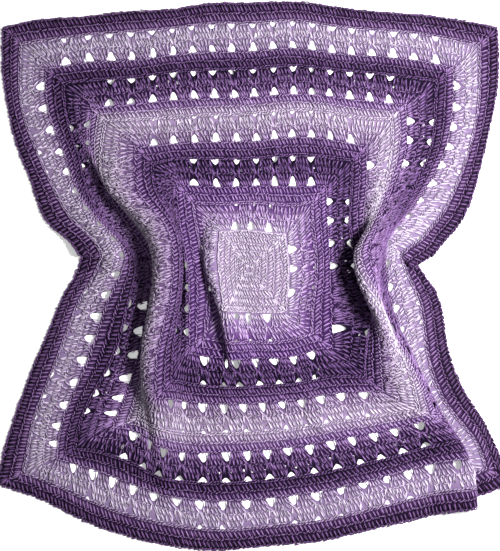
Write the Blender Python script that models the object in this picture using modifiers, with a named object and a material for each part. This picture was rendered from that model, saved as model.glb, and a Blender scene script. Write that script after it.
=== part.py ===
"""A square blanket crocheted in rounds from its centre, lying loose on a flat surface, gathered at the waist.

The blanket is one piece of yarn fabric, so it is one solid: a sheet 2.5 mm thick. Its flat pattern is a square with
u to the right and v upwards, both measured from the middle in UNITs. The tables below say where the round lines of
that square come to lie, and which folds, tucks, swells and creases lift the cloth off the surface.
Axes: +X right, +Y towards the top edge, +Z up. The origin is on the surface, under the middle of the outline.
"""

import bpy
import numpy as np

UNIT = 0.0015  # m: every number in the tables is in this unit, so that one post of a stitch is 3.45 of them wide
HALF = 271.0  # half of the flat side: 24 rounds of stitches
THICKNESS = 0.0025  # m, of the crocheted fabric
MIDDLE_X, MIDDLE_Y = 253.5, 275.3  # the middle of the outline in the tables' x (to the right) and y (down)

# Rounds where the tables give places: the centre, the openwork lines of the five bands, and the edge.
ROUNDS = (-271.0, -227.0, -182.0, -136.5, -91.0, -46.0, 0.0, 46.0, 91.0, 136.5, 182.0, 227.0, 271.0)

# Sections across the cloth, from the top edge (v = 271) down. Each row is one section, each column one round line.
#  v        left   L5     L4     L3     L2     L1     middle R1     R2     R3     R4     R5     right
PLACE_X = (
    (271.0, (3.0, 43.0, 87.0, 129.0, 170.0, 211.0, 253.0, 294.0, 333.0, 374.0, 414.0, 456.0, 497.0)),
    (227.0, (2.5, 42.0, 88.0, 131.5, 173.0, 211.0, 253.0, 293.0, 332.0, 372.0, 415.0, 457.0, 498.0)),
    (182.0, (8.0, 43.0, 88.0, 131.0, 173.0, 214.0, 254.0, 294.0, 330.0, 370.0, 410.0, 457.0, 492.0)),
    (136.5, (18.0, 59.0, 88.0, 131.0, 173.0, 215.0, 256.0, 293.0, 331.0, 371.0, 411.0, 450.0, 482.0)),
    (91.0, (33.0, 75.0, 103.0, 133.0, 173.0, 215.0, 256.0, 293.0, 330.0, 370.0, 395.0, 433.0, 470.5)),
    (46.0, (50.0, 99.6, 121.0, 158.0, 178.0, 214.0, 251.0, 290.0, 330.5, 366.0, 378.0, 409.5, 447.0)),
    (0.0, (82.0, 122.0, 145.0, 169.0, 186.0, 212.0, 248.6, 294.3, 333.0, 366.0, 372.0, 388.0, 413.5)),
    (-46.0, (66.0, 105.0, 142.0, 164.0, 186.6, 221.0, 248.0, 291.0, 337.7, 372.0, 380.0, 391.0, 430.0)),
    (-91.0, (50.0, 89.0, 132.5, 153.0, 186.0, 228.0, 255.6, 295.0, 338.0, 384.0, 407.0, 402.0, 443.0)),
    (-136.5, (33.5, 72.5, 117.0, 152.0, 184.0, 224.0, 263.5, 303.0, 342.5, 388.0, 427.0, 415.0, 450.0)),
    (-182.0, (19.0, 56.0, 105.0, 150.0, 182.0, 226.0, 268.0, 311.0, 354.0, 396.0, 441.0, 432.0, 468.0)),
    (-227.0, (6.0, 52.0, 92.5, 133.0, 177.0, 223.0, 271.0, 318.0, 365.0, 410.0, 457.0, 459.0, 488.0)),
    (-271.0, (-3.0, 43.0, 83.0, 128.0, 175.0, 222.0, 272.0, 318.0, 363.0, 407.0, 449.0, 466.0, 510.0)),
)
PLACE_Y = (
    (271.0, (28.0, 20.0, 17.0, 12.0, 10.0, 4.0, 3.6, 2.4, 7.0, 12.0, 15.0, 20.0, 28.0)),
    (227.0, (68.0, 65.0, 58.0, 56.0, 51.0, 48.0, 47.0, 44.0, 49.0, 52.0, 56.0, 64.0, 73.0)),
    (182.0, (108.0, 108.0, 105.0, 101.0, 96.0, 94.0, 92.5, 90.0, 92.5, 97.0, 101.0, 106.0, 116.0)),
    (136.5, (149.0, 151.0, 143.0, 143.0, 140.0, 138.0, 137.0, 133.0, 135.5, 142.0, 140.0, 146.0, 159.0)),
    (91.0, (187.0, 191.0, 183.0, 191.0, 182.0, 183.0, 182.0, 182.0, 182.0, 185.0, 189.0, 183.0, 201.0)),
    (46.0, (225.0, 224.0, 224.0, 222.0, 225.0, 227.0, 225.5, 229.0, 220.0, 225.0, 230.0, 215.5, 238.0)),
    (0.0, (256.0, 255.0, 260.0, 262.0, 266.0, 268.0, 270.0, 269.0, 266.0, 267.0, 262.0, 243.0, 267.0)),
    (-46.0, (291.0, 296.0, 307.0, 308.0, 310.0, 316.0, 317.6, 316.0, 306.0, 316.0, 304.0, 287.0, 283.0)),
    (-91.0, (328.0, 339.0, 356.0, 353.0, 357.0, 363.0, 362.5, 360.0, 352.0, 358.0, 350.0, 330.0, 318.0)),
    (-136.5, (366.0, 383.5, 398.5, 401.0, 406.0, 408.0, 407.0, 403.0, 397.0, 394.0, 389.0, 374.0, 357.0)),
    (-182.0, (405.0, 427.0, 430.0, 444.0, 456.5, 457.0, 454.5, 449.0, 441.0, 432.0, 419.0, 414.0, 398.0)),
    (-227.0, (444.5, 461.0, 474.0, 489.5, 501.5, 505.5, 502.0, 496.0, 486.0, 474.0, 463.5, 455.0, 430.0)),
    (-271.0, (484.0, 500.0, 520.0, 536.0, 546.0, 549.5, 545.0, 541.0, 531.0, 521.0, 511.0, 501.0, 482.5)),
)

# Folds run down the cloth. At each v: the u where the cloth turns back, the half width of the turn, how far the layers
# lie over each other, the height of the crest, and the length over which it falls off behind the crest.
# lean -1: the crest hangs over to the left. lean +1: it lies over to the right.
#   v       u       width  over   height tail
FOLDS = (
    ("left rope", -1, (
        (215.0, -190.0, 30.0, 0.0, 0.0, 60.0),
        (182.0, -188.0, 28.0, 3.0, 5.0, 60.0),
        (136.5, -180.0, 24.0, 6.0, 14.0, 60.0),
        (105.0, -171.0, 18.0, 8.5, 21.0, 54.0),
        (75.0, -163.0, 15.0, 10.5, 27.0, 50.0),
        (46.0, -160.0, 14.0, 12.0, 32.0, 46.0),
        (0.0, -160.0, 14.0, 12.0, 34.0, 44.0),
        (-46.0, -160.0, 14.0, 12.0, 33.0, 44.0),
        (-91.0, -158.0, 14.0, 11.0, 29.0, 46.0),
        (-136.5, -153.0, 16.0, 9.0, 22.0, 48.0),
        (-182.0, -140.0, 17.0, 4.0, 13.0, 45.0),
        (-215.0, -126.0, 17.0, 1.5, 6.0, 40.0),
        (-240.0, -120.0, 17.0, 0.0, 0.0, 40.0),
    )),
    ("left edge of the centre", -1, (
        (85.0, -60.0, 12.0, 0.0, 0.0, 30.0),
        (60.0, -60.0, 11.0, 2.0, 4.0, 32.0),
        (30.0, -60.0, 10.0, 5.0, 11.0, 34.0),
        (0.0, -60.0, 10.0, 6.5, 15.0, 34.0),
        (-30.0, -56.0, 10.0, 6.5, 16.0, 34.0),
        (-60.0, -47.0, 10.0, 6.5, 15.0, 34.0),
        (-91.0, -38.0, 10.0, 5.0, 12.0, 32.0),
        (-115.0, -40.0, 12.0, 2.0, 6.0, 32.0),
        (-150.0, -42.0, 14.0, 0.0, 0.0, 32.0),
    )),
    ("right ridge", -1, (
        (115.0, 160.0, 20.0, 0.0, 0.0, 60.0),
        (91.0, 158.0, 20.0, 3.0, 5.0, 64.0),
        (68.0, 155.0, 19.0, 5.0, 13.0, 75.0),
        (46.0, 152.0, 18.0, 8.5, 23.0, 84.0),
        (23.0, 148.0, 17.5, 14.0, 31.0, 90.0),
        (0.0, 143.0, 17.5, 14.5, 36.0, 94.0),
        (-23.0, 133.0, 17.0, 13.0, 37.0, 94.0),
        (-46.0, 123.0, 16.0, 11.0, 35.0, 92.0),
        (-68.0, 117.0, 16.0, 8.0, 30.0, 82.0),
        (-91.0, 114.0, 16.0, 6.0, 24.0, 72.0),
        (-115.0, 114.0, 17.0, 3.5, 15.0, 62.0),
        (-140.0, 116.0, 20.0, 1.0, 6.0, 52.0),
        (-170.0, 118.0, 22.0, 0.0, 0.0, 50.0),
    )),
    ("right pleat", 1, (
        (-30.0, 212.0, 12.0, 0.0, 0.0, 46.0),
        (-55.0, 211.0, 14.0, 4.0, 6.0, 46.0),
        (-75.0, 209.0, 19.0, 8.0, 9.0, 46.0),
        (-91.0, 207.0, 23.0, 11.0, 11.0, 46.0),
        (-113.0, 206.0, 27.0, 13.0, 12.0, 46.0),
        (-136.5, 207.0, 29.0, 14.0, 12.0, 46.0),
        (-158.0, 208.0, 29.0, 14.0, 12.0, 46.0),
        (-182.0, 209.0, 26.0, 14.0, 12.0, 48.0),
        (-205.0, 211.0, 22.0, 13.0, 13.0, 48.0),
        (-227.0, 212.0, 18.0, 12.0, 13.0, 48.0),
        (-250.0, 215.0, 16.0, 12.0, 14.0, 48.0),
        (-271.0, 218.0, 14.5, 12.5, 14.0, 48.0),
    )),
)

# Tucks run in from the notches of the waist. At the edge round the cloth turns back over itself along v.
#  name            u at edge, reach inwards, v, half width, over, height, which layer is on top (+1 upper, -1 lower)
TUCKS = (
    ("left notch", -271.0, 42.0, -3.0, 10.0, 6.0, 9.0, 1),
    ("right notch", 271.0, 46.0, -11.0, 11.0, 6.5, 9.0, 1),
)

# Places that lie beside the tables' even course: name, u, v, reach along u, reach along v, to the right, down
SHIFTS = (
    ("left flank, beside the rope", -204.0, -62.0, 17.0, 74.0, 14.0, 3.0),
    ("right shoulder, beside the border", 247.0, 40.0, 15.0, 36.0, 6.0, 1.0),
    ("right shoulder, edge", 268.0, 20.0, 26.0, 17.0, 9.0, 5.0),
)

# Soft swells between the folds: name, u, v, reach along u, reach along v, height
SWELLS = (
    ("left shoulder", -236.0, 8.0, 20.0, 44.0, 15.0),
    ("left shoulder, upper", -222.0, 62.0, 26.0, 34.0, 6.0),
    ("left flank", -205.0, -62.0, 22.0, 40.0, 7.0),
    ("gather beside the rope", -87.0, -8.0, 13.0, 62.0, 11.5),
    ("centre", 6.0, 2.0, 42.0, 60.0, 5.0),
    ("right flank", 84.0, -20.0, 20.0, 60.0, 5.0),
    ("right shoulder", 238.0, -4.0, 20.0, 34.0, 6.0),
    ("lower right", 160.0, -165.0, 30.0, 34.0, 4.0),
)

# Small creases: name, from u, v, to u, v, half width, height
CREASES = (
    ("top right", 62.0, 232.0, 76.0, 158.0, 6.0, 3.0),
    ("top middle", 10.0, 124.0, 38.0, 104.0, 8.0, 2.5),
    ("top left", -93.0, 216.0, -88.0, 196.0, 5.0, 2.5),
    ("far top left", -160.0, 214.0, -152.0, 196.0, 6.0, 2.5),
    ("bottom middle", 34.0, -104.0, 64.0, -170.0, 8.0, 3.5),
    ("foot of the rope", -112.0, -198.0, -96.0, -216.0, 6.0, 3.0),
    ("bottom left corner", -224.0, -236.0, -216.0, -266.0, 6.0, 2.5),
    ("top right corner", 205.0, 250.0, 232.0, 214.0, 8.0, 2.0),
)
FLAT_BELOW = 0.7  # lower than this the cloth lies flat on the surface

COLUMNS, ROWS = 62, 38  # faces of the grid across and down
CLOSER_AT_FOLDS = 2.2  # how much closer the grid's lines stand at a fold's turn
CLOSER_AT_TUCKS = 1.3  # and at the notches' tucks


def spline_weights(knots, at):
    """Rows of weights that give a natural cubic spline through the values at the knots."""
    knots = np.asarray(knots, float)
    n = len(knots)
    gap = np.diff(knots)
    system, right = np.eye(n), np.zeros((n, n))
    for i in range(1, n - 1):
        system[i, i - 1], system[i, i], system[i, i + 1] = gap[i - 1], 2 * (gap[i - 1] + gap[i]), gap[i]
        right[i, i - 1], right[i, i + 1] = 6 / gap[i - 1], 6 / gap[i]
        right[i, i] = -6 / gap[i - 1] - 6 / gap[i]
    bend = np.linalg.solve(system, right)
    at = np.clip(np.asarray(at, float), knots[0], knots[-1])
    k = np.clip(np.searchsorted(knots, at, side="right") - 1, 0, n - 2)
    h = gap[k]
    b = (at - knots[k]) / h
    a = 1 - b
    weights = np.zeros((len(at), n))
    rows = np.arange(len(at))
    weights[rows, k] += a
    weights[rows, k + 1] += b
    weights += ((a**3 - a) * h * h / 6)[:, None] * bend[k] + ((b**3 - b) * h * h / 6)[:, None] * bend[k + 1]
    return weights


def smooth(x):
    x = np.clip(x, 0, 1)
    return x * x * (3 - 2 * x)


def turn(t):
    """Sideways pull across a fold: +1 just before the turn, -1 just after it."""
    return -t * np.exp((1 - t * t) / 2)


def rise(side):
    """Height across a fold, 0 to 1: half of it at each of the two turns, at side -0.8 and 0.8."""
    return 0.5 * (smooth((side + 1.6) / 1.6) + smooth(side / 1.6))


def fold_rows(rows, v):
    """A fold's sizes at each v: u, width, over, height, tail."""
    table = np.array(sorted(rows))
    weights = spline_weights(table[:, 0], v)
    u, width, over, height, tail = (weights @ table[:, 1:]).T
    inside = (v >= table[0, 0]) & (v <= table[-1, 0])
    return u, width, np.where(inside, np.maximum(over, 0), 0), np.where(inside, np.maximum(height, 0), 0), tail


def folds_at(u, v):
    """(pull along x, pull along y, height) of all folds, tucks, swells and creases at the flat places u, v."""
    dx, dy, z = np.zeros(len(u)), np.zeros(len(u)), np.zeros(len(u))
    for _, at_u, at_v, along_u, along_v, right, down in SHIFTS:
        near = np.exp(-(((u - at_u) / along_u) ** 2) - ((v - at_v) / along_v) ** 2)
        dx += right * near
        dy -= down * near
    for _, lean, rows in FOLDS:
        centre, width, over, height, tail = fold_rows(rows, v)
        t = (u - centre) / width
        dx += over * turn(t)
        side = -lean * t
        behind = np.clip((side - 1.1) * width / tail, 0, 1)
        z += height * rise(side) * 0.5 * (1 + np.cos(np.pi * behind))
    for _, edge, reach, centre, width, over, height, top in TUCKS:
        near = smooth(1 - np.abs(u - edge) / reach)
        t = (v - centre) / width
        dy += over * near * turn(t)
        side = top * t
        z += height * near * rise(side) * np.exp(-np.clip(side - 1.1, 0, None) * 0.45)
    for _, at_u, at_v, along_u, along_v, height in SWELLS:
        z += height * np.exp(-(((u - at_u) / along_u) ** 2) - ((v - at_v) / along_v) ** 2)
    for _, u1, v1, u2, v2, width, height in CREASES:
        du, dv = u2 - u1, v2 - v1
        length = np.hypot(du, dv)
        along = ((u - u1) * du + (v - v1) * dv) / length
        off = (-(u - u1) * dv + (v - v1) * du) / length
        ends = smooth((along + width) / (2 * width)) * smooth((length + width - along) / (2 * width))
        z += height * ends * np.exp(-((off / width) ** 2))
    return dx, dy, z


def base_tables():
    """The tables without the folds' own pull, which is put back at every place."""
    down = np.array([row[0] for row in PLACE_X])
    grid_v, grid_u = np.meshgrid(down, ROUNDS, indexing="ij")
    dx, dy, _ = folds_at(grid_u.ravel(), grid_v.ravel())
    x = np.array([row[1] for row in PLACE_X]) - MIDDLE_X - dx.reshape(grid_u.shape)
    y = MIDDLE_Y - np.array([row[1] for row in PLACE_Y]) - dy.reshape(grid_u.shape)
    order = np.argsort(down)
    return down[order], x[order], y[order]


DOWN, BASE_X, BASE_Y = base_tables()


def drape(u, v):
    """Places (in metres) of the middle of the cloth's thickness, for the flat places u, v."""
    u, v = np.asarray(u, float), np.asarray(v, float)
    across, down = spline_weights(ROUNDS, u), spline_weights(DOWN, v)
    dx, dy, z = folds_at(u, v)
    x = np.einsum("nj,nj->n", down @ BASE_X, across) + dx
    y = np.einsum("nj,nj->n", down @ BASE_Y, across) + dy
    z = np.maximum(z - FLAT_BELOW, 0)
    return np.stack([x * UNIT, y * UNIT, z * UNIT + THICKNESS / 2], axis=1)


def column_places(v):
    """u of each of the grid's lines on the section v, closer together where a fold turns."""
    fine = np.linspace(-HALF, HALF, 1085)
    density = np.ones_like(fine)
    for _, _, rows in FOLDS:
        centre, width, over, height, _ = (value[0] for value in fold_rows(rows, np.array([v])))
        centre = np.clip(centre, -HALF, HALF)
        density += CLOSER_AT_FOLDS * min(1.0, height / 12) * np.exp(-(((fine - centre) / (1.6 * width)) ** 2))
    running = np.concatenate([[0], np.cumsum((density[1:] + density[:-1]) / 2)])
    return np.interp(np.linspace(0, running[-1], COLUMNS + 1), running, fine)


def row_places():
    """v of each of the grid's lines across the cloth, closer together at the tucks."""
    fine = np.linspace(-HALF, HALF, 1085)
    middle = np.mean([tuck[3] for tuck in TUCKS])
    density = 1 + CLOSER_AT_TUCKS * np.exp(-(((fine - middle) / 24.0) ** 2))
    running = np.concatenate([[0], np.cumsum((density[1:] + density[:-1]) / 2)])
    return np.interp(np.linspace(0, running[-1], ROWS + 1), running, fine)


def clear_scene():
    for obj in list(bpy.data.objects):
        bpy.data.objects.remove(obj, do_unlink=True)


def make_material():
    material = bpy.data.materials.new("purple_yarn")
    material.use_nodes = True
    shader = material.node_tree.nodes["Principled BSDF"]
    shader.inputs["Base Color"].default_value = (0.24, 0.13, 0.36, 1.0)
    shader.inputs["Roughness"].default_value = 0.92
    shader.inputs["Metallic"].default_value = 0.0
    return material


def make_blanket(collection):
    bpy.ops.mesh.primitive_grid_add(x_subdivisions=COLUMNS, y_subdivisions=ROWS, size=2 * HALF * UNIT)
    blanket = bpy.context.object
    blanket.name = "blanket"
    blanket.data.name = "blanket"
    for other in blanket.users_collection:
        other.objects.unlink(blanket)
    collection.objects.link(blanket)

    mesh = blanket.data
    flat = np.empty(len(mesh.vertices) * 3)
    mesh.vertices.foreach_get("co", flat)
    flat = flat.reshape(-1, 3) / UNIT
    column = np.rint((flat[:, 0] + HALF) / (2 * HALF) * COLUMNS).astype(int)
    row = np.rint((flat[:, 1] + HALF) / (2 * HALF) * ROWS).astype(int)
    v_lines = row_places()
    u_lines = np.array([column_places(v) for v in v_lines])
    mesh.vertices.foreach_set("co", drape(u_lines[row, column], v_lines[row]).ravel())
    mesh.shade_smooth()
    mesh.update()

    shell = blanket.modifiers.new("thickness", "SOLIDIFY")
    shell.thickness = THICKNESS
    shell.offset = 0.0
    shell.use_even_offset = False
    blanket.data.materials.append(make_material())
    return blanket


def main():
    clear_scene()
    collection = bpy.data.collections.new("crochet_blanket")
    bpy.context.scene.collection.children.link(collection)
    make_blanket(collection)


main()
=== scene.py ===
"""A crocheted square blanket of shaded violet yarn, laid on a pale floor and drawn in at its waist.

The fabric is worked in rounds from its centre. It is modelled stitch by stitch on the flat square, and every strand is
then carried onto the folds in which the cloth lies.
"""

import bpy
import numpy as np
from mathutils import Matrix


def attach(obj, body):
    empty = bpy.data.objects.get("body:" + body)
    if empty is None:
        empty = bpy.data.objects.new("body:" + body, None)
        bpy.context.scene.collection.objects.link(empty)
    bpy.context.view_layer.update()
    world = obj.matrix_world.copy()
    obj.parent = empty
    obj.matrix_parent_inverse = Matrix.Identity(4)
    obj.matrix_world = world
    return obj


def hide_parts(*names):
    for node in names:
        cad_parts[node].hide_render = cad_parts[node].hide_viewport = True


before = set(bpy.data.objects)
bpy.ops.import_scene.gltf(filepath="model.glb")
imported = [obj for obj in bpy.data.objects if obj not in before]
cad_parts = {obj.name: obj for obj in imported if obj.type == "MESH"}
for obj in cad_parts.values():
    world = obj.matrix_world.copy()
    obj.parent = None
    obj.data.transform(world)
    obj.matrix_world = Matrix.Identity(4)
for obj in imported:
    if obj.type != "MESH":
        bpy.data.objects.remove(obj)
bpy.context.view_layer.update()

rng = np.random.default_rng(24)

# ---------------------------------------------------------------------------------------------------------------------
# The folds in which the cloth lies
# ---------------------------------------------------------------------------------------------------------------------

UNIT = 0.0015  # m: every number in the tables is in this unit, so that one post of a stitch is 3.45 of them wide
HALF = 271.0  # half of the flat side: 24 rounds of stitches
THICKNESS = 0.0025  # m, of the crocheted fabric
MIDDLE_X, MIDDLE_Y = 253.5, 275.3  # the middle of the outline in the tables' x (to the right) and y (down)

# Rounds where the tables give places: the centre, the openwork lines of the five bands, and the edge.
ROUNDS = (-271.0, -227.0, -182.0, -136.5, -91.0, -46.0, 0.0, 46.0, 91.0, 136.5, 182.0, 227.0, 271.0)

# Sections across the cloth, from the top edge (v = 271) down. Each row is one section, each column one round line.
#  v        left   L5     L4     L3     L2     L1     middle R1     R2     R3     R4     R5     right
PLACE_X = (
    (271.0, (3.0, 43.0, 87.0, 129.0, 170.0, 211.0, 253.0, 294.0, 333.0, 374.0, 414.0, 456.0, 497.0)),
    (227.0, (2.5, 42.0, 88.0, 131.5, 173.0, 211.0, 253.0, 293.0, 332.0, 372.0, 415.0, 457.0, 498.0)),
    (182.0, (8.0, 43.0, 88.0, 131.0, 173.0, 214.0, 254.0, 294.0, 330.0, 370.0, 410.0, 457.0, 492.0)),
    (136.5, (18.0, 59.0, 88.0, 131.0, 173.0, 215.0, 256.0, 293.0, 331.0, 371.0, 411.0, 450.0, 482.0)),
    (91.0, (33.0, 75.0, 103.0, 133.0, 173.0, 215.0, 256.0, 293.0, 330.0, 370.0, 395.0, 433.0, 470.5)),
    (46.0, (50.0, 99.6, 121.0, 158.0, 178.0, 214.0, 251.0, 290.0, 330.5, 366.0, 378.0, 409.5, 447.0)),
    (0.0, (82.0, 122.0, 145.0, 169.0, 186.0, 212.0, 248.6, 294.3, 333.0, 366.0, 372.0, 388.0, 413.5)),
    (-46.0, (66.0, 105.0, 142.0, 164.0, 186.6, 221.0, 248.0, 291.0, 337.7, 372.0, 380.0, 391.0, 430.0)),
    (-91.0, (50.0, 89.0, 132.5, 153.0, 186.0, 228.0, 255.6, 295.0, 338.0, 384.0, 407.0, 402.0, 443.0)),
    (-136.5, (33.5, 72.5, 117.0, 152.0, 184.0, 224.0, 263.5, 303.0, 342.5, 388.0, 427.0, 415.0, 450.0)),
    (-182.0, (19.0, 56.0, 105.0, 150.0, 182.0, 226.0, 268.0, 311.0, 354.0, 396.0, 441.0, 432.0, 468.0)),
    (-227.0, (6.0, 52.0, 92.5, 133.0, 177.0, 223.0, 271.0, 318.0, 365.0, 410.0, 457.0, 459.0, 488.0)),
    (-271.0, (-3.0, 43.0, 83.0, 128.0, 175.0, 222.0, 272.0, 318.0, 363.0, 407.0, 449.0, 466.0, 510.0)),
)
PLACE_Y = (
    (271.0, (28.0, 20.0, 17.0, 12.0, 10.0, 4.0, 3.6, 2.4, 7.0, 12.0, 15.0, 20.0, 28.0)),
    (227.0, (68.0, 65.0, 58.0, 56.0, 51.0, 48.0, 47.0, 44.0, 49.0, 52.0, 56.0, 64.0, 73.0)),
    (182.0, (108.0, 108.0, 105.0, 101.0, 96.0, 94.0, 92.5, 90.0, 92.5, 97.0, 101.0, 106.0, 116.0)),
    (136.5, (149.0, 151.0, 143.0, 143.0, 140.0, 138.0, 137.0, 133.0, 135.5, 142.0, 140.0, 146.0, 159.0)),
    (91.0, (187.0, 191.0, 183.0, 191.0, 182.0, 183.0, 182.0, 182.0, 182.0, 185.0, 189.0, 183.0, 201.0)),
    (46.0, (225.0, 224.0, 224.0, 222.0, 225.0, 227.0, 225.5, 229.0, 220.0, 225.0, 230.0, 215.5, 238.0)),
    (0.0, (256.0, 255.0, 260.0, 262.0, 266.0, 268.0, 270.0, 269.0, 266.0, 267.0, 262.0, 243.0, 267.0)),
    (-46.0, (291.0, 296.0, 307.0, 308.0, 310.0, 316.0, 317.6, 316.0, 306.0, 316.0, 304.0, 287.0, 283.0)),
    (-91.0, (328.0, 339.0, 356.0, 353.0, 357.0, 363.0, 362.5, 360.0, 352.0, 358.0, 350.0, 330.0, 318.0)),
    (-136.5, (366.0, 383.5, 398.5, 401.0, 406.0, 408.0, 407.0, 403.0, 397.0, 394.0, 389.0, 374.0, 357.0)),
    (-182.0, (405.0, 427.0, 430.0, 444.0, 456.5, 457.0, 454.5, 449.0, 441.0, 432.0, 419.0, 414.0, 398.0)),
    (-227.0, (444.5, 461.0, 474.0, 489.5, 501.5, 505.5, 502.0, 496.0, 486.0, 474.0, 463.5, 455.0, 430.0)),
    (-271.0, (484.0, 500.0, 520.0, 536.0, 546.0, 549.5, 545.0, 541.0, 531.0, 521.0, 511.0, 501.0, 482.5)),
)

# Folds run down the cloth. At each v: the u where the cloth turns back, the half width of the turn, how far the layers
# lie over each other, the height of the crest, and the length over which it falls off behind the crest.
# lean -1: the crest hangs over to the left. lean +1: it lies over to the right.
#   v       u       width  over   height tail
FOLDS = (
    ("left rope", -1, (
        (215.0, -190.0, 30.0, 0.0, 0.0, 60.0),
        (182.0, -188.0, 28.0, 3.0, 5.0, 60.0),
        (136.5, -180.0, 24.0, 6.0, 14.0, 60.0),
        (105.0, -171.0, 18.0, 8.5, 21.0, 54.0),
        (75.0, -163.0, 15.0, 10.5, 27.0, 50.0),
        (46.0, -160.0, 14.0, 12.0, 32.0, 46.0),
        (0.0, -160.0, 14.0, 12.0, 34.0, 44.0),
        (-46.0, -160.0, 14.0, 12.0, 33.0, 44.0),
        (-91.0, -158.0, 14.0, 11.0, 29.0, 46.0),
        (-136.5, -153.0, 16.0, 9.0, 22.0, 48.0),
        (-182.0, -140.0, 17.0, 4.0, 13.0, 45.0),
        (-215.0, -126.0, 17.0, 1.5, 6.0, 40.0),
        (-240.0, -120.0, 17.0, 0.0, 0.0, 40.0),
    )),
    ("left edge of the centre", -1, (
        (85.0, -60.0, 12.0, 0.0, 0.0, 30.0),
        (60.0, -60.0, 11.0, 2.0, 4.0, 32.0),
        (30.0, -60.0, 10.0, 5.0, 11.0, 34.0),
        (0.0, -60.0, 10.0, 6.5, 15.0, 34.0),
        (-30.0, -56.0, 10.0, 6.5, 16.0, 34.0),
        (-60.0, -47.0, 10.0, 6.5, 15.0, 34.0),
        (-91.0, -38.0, 10.0, 5.0, 12.0, 32.0),
        (-115.0, -40.0, 12.0, 2.0, 6.0, 32.0),
        (-150.0, -42.0, 14.0, 0.0, 0.0, 32.0),
    )),
    ("right ridge", -1, (
        (115.0, 160.0, 20.0, 0.0, 0.0, 60.0),
        (91.0, 158.0, 20.0, 3.0, 5.0, 64.0),
        (68.0, 155.0, 19.0, 5.0, 13.0, 75.0),
        (46.0, 152.0, 18.0, 8.5, 23.0, 84.0),
        (23.0, 148.0, 17.5, 14.0, 31.0, 90.0),
        (0.0, 143.0, 17.5, 14.5, 36.0, 94.0),
        (-23.0, 133.0, 17.0, 13.0, 37.0, 94.0),
        (-46.0, 123.0, 16.0, 11.0, 35.0, 92.0),
        (-68.0, 117.0, 16.0, 8.0, 30.0, 82.0),
        (-91.0, 114.0, 16.0, 6.0, 24.0, 72.0),
        (-115.0, 114.0, 17.0, 3.5, 15.0, 62.0),
        (-140.0, 116.0, 20.0, 1.0, 6.0, 52.0),
        (-170.0, 118.0, 22.0, 0.0, 0.0, 50.0),
    )),
    ("right pleat", 1, (
        (-30.0, 212.0, 12.0, 0.0, 0.0, 46.0),
        (-55.0, 211.0, 14.0, 4.0, 6.0, 46.0),
        (-75.0, 209.0, 19.0, 8.0, 9.0, 46.0),
        (-91.0, 207.0, 23.0, 11.0, 11.0, 46.0),
        (-113.0, 206.0, 27.0, 13.0, 12.0, 46.0),
        (-136.5, 207.0, 29.0, 14.0, 12.0, 46.0),
        (-158.0, 208.0, 29.0, 14.0, 12.0, 46.0),
        (-182.0, 209.0, 26.0, 14.0, 12.0, 48.0),
        (-205.0, 211.0, 22.0, 13.0, 13.0, 48.0),
        (-227.0, 212.0, 18.0, 12.0, 13.0, 48.0),
        (-250.0, 215.0, 16.0, 12.0, 14.0, 48.0),
        (-271.0, 218.0, 14.5, 12.5, 14.0, 48.0),
    )),
)

# Tucks run in from the notches of the waist. At the edge round the cloth turns back over itself along v.
#  name            u at edge, reach inwards, v, half width, over, height, which layer is on top (+1 upper, -1 lower)
TUCKS = (
    ("left notch", -271.0, 42.0, -3.0, 10.0, 6.0, 9.0, 1),
    ("right notch", 271.0, 46.0, -11.0, 11.0, 6.5, 9.0, 1),
)

# Places that lie beside the tables' even course: name, u, v, reach along u, reach along v, to the right, down
SHIFTS = (
    ("left flank, beside the rope", -204.0, -62.0, 17.0, 74.0, 14.0, 3.0),
    ("right shoulder, beside the border", 247.0, 40.0, 15.0, 36.0, 6.0, 1.0),
    ("right shoulder, edge", 268.0, 20.0, 26.0, 17.0, 9.0, 5.0),
)

# Soft swells between the folds: name, u, v, reach along u, reach along v, height
SWELLS = (
    ("left shoulder", -236.0, 8.0, 20.0, 44.0, 15.0),
    ("left shoulder, upper", -222.0, 62.0, 26.0, 34.0, 6.0),
    ("left flank", -205.0, -62.0, 22.0, 40.0, 7.0),
    ("gather beside the rope", -87.0, -8.0, 13.0, 62.0, 11.5),
    ("centre", 6.0, 2.0, 42.0, 60.0, 5.0),
    ("right flank", 84.0, -20.0, 20.0, 60.0, 5.0),
    ("right shoulder", 238.0, -4.0, 20.0, 34.0, 6.0),
    ("lower right", 160.0, -165.0, 30.0, 34.0, 4.0),
)

# Small creases: name, from u, v, to u, v, half width, height
CREASES = (
    ("top right", 62.0, 232.0, 76.0, 158.0, 6.0, 3.0),
    ("top middle", 10.0, 124.0, 38.0, 104.0, 8.0, 2.5),
    ("top left", -93.0, 216.0, -88.0, 196.0, 5.0, 2.5),
    ("far top left", -160.0, 214.0, -152.0, 196.0, 6.0, 2.5),
    ("bottom middle", 34.0, -104.0, 64.0, -170.0, 8.0, 3.5),
    ("foot of the rope", -112.0, -198.0, -96.0, -216.0, 6.0, 3.0),
    ("bottom left corner", -224.0, -236.0, -216.0, -266.0, 6.0, 2.5),
    ("top right corner", 205.0, 250.0, 232.0, 214.0, 8.0, 2.0),
)
FLAT_BELOW = 0.7  # lower than this the cloth lies flat on the surface



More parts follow.
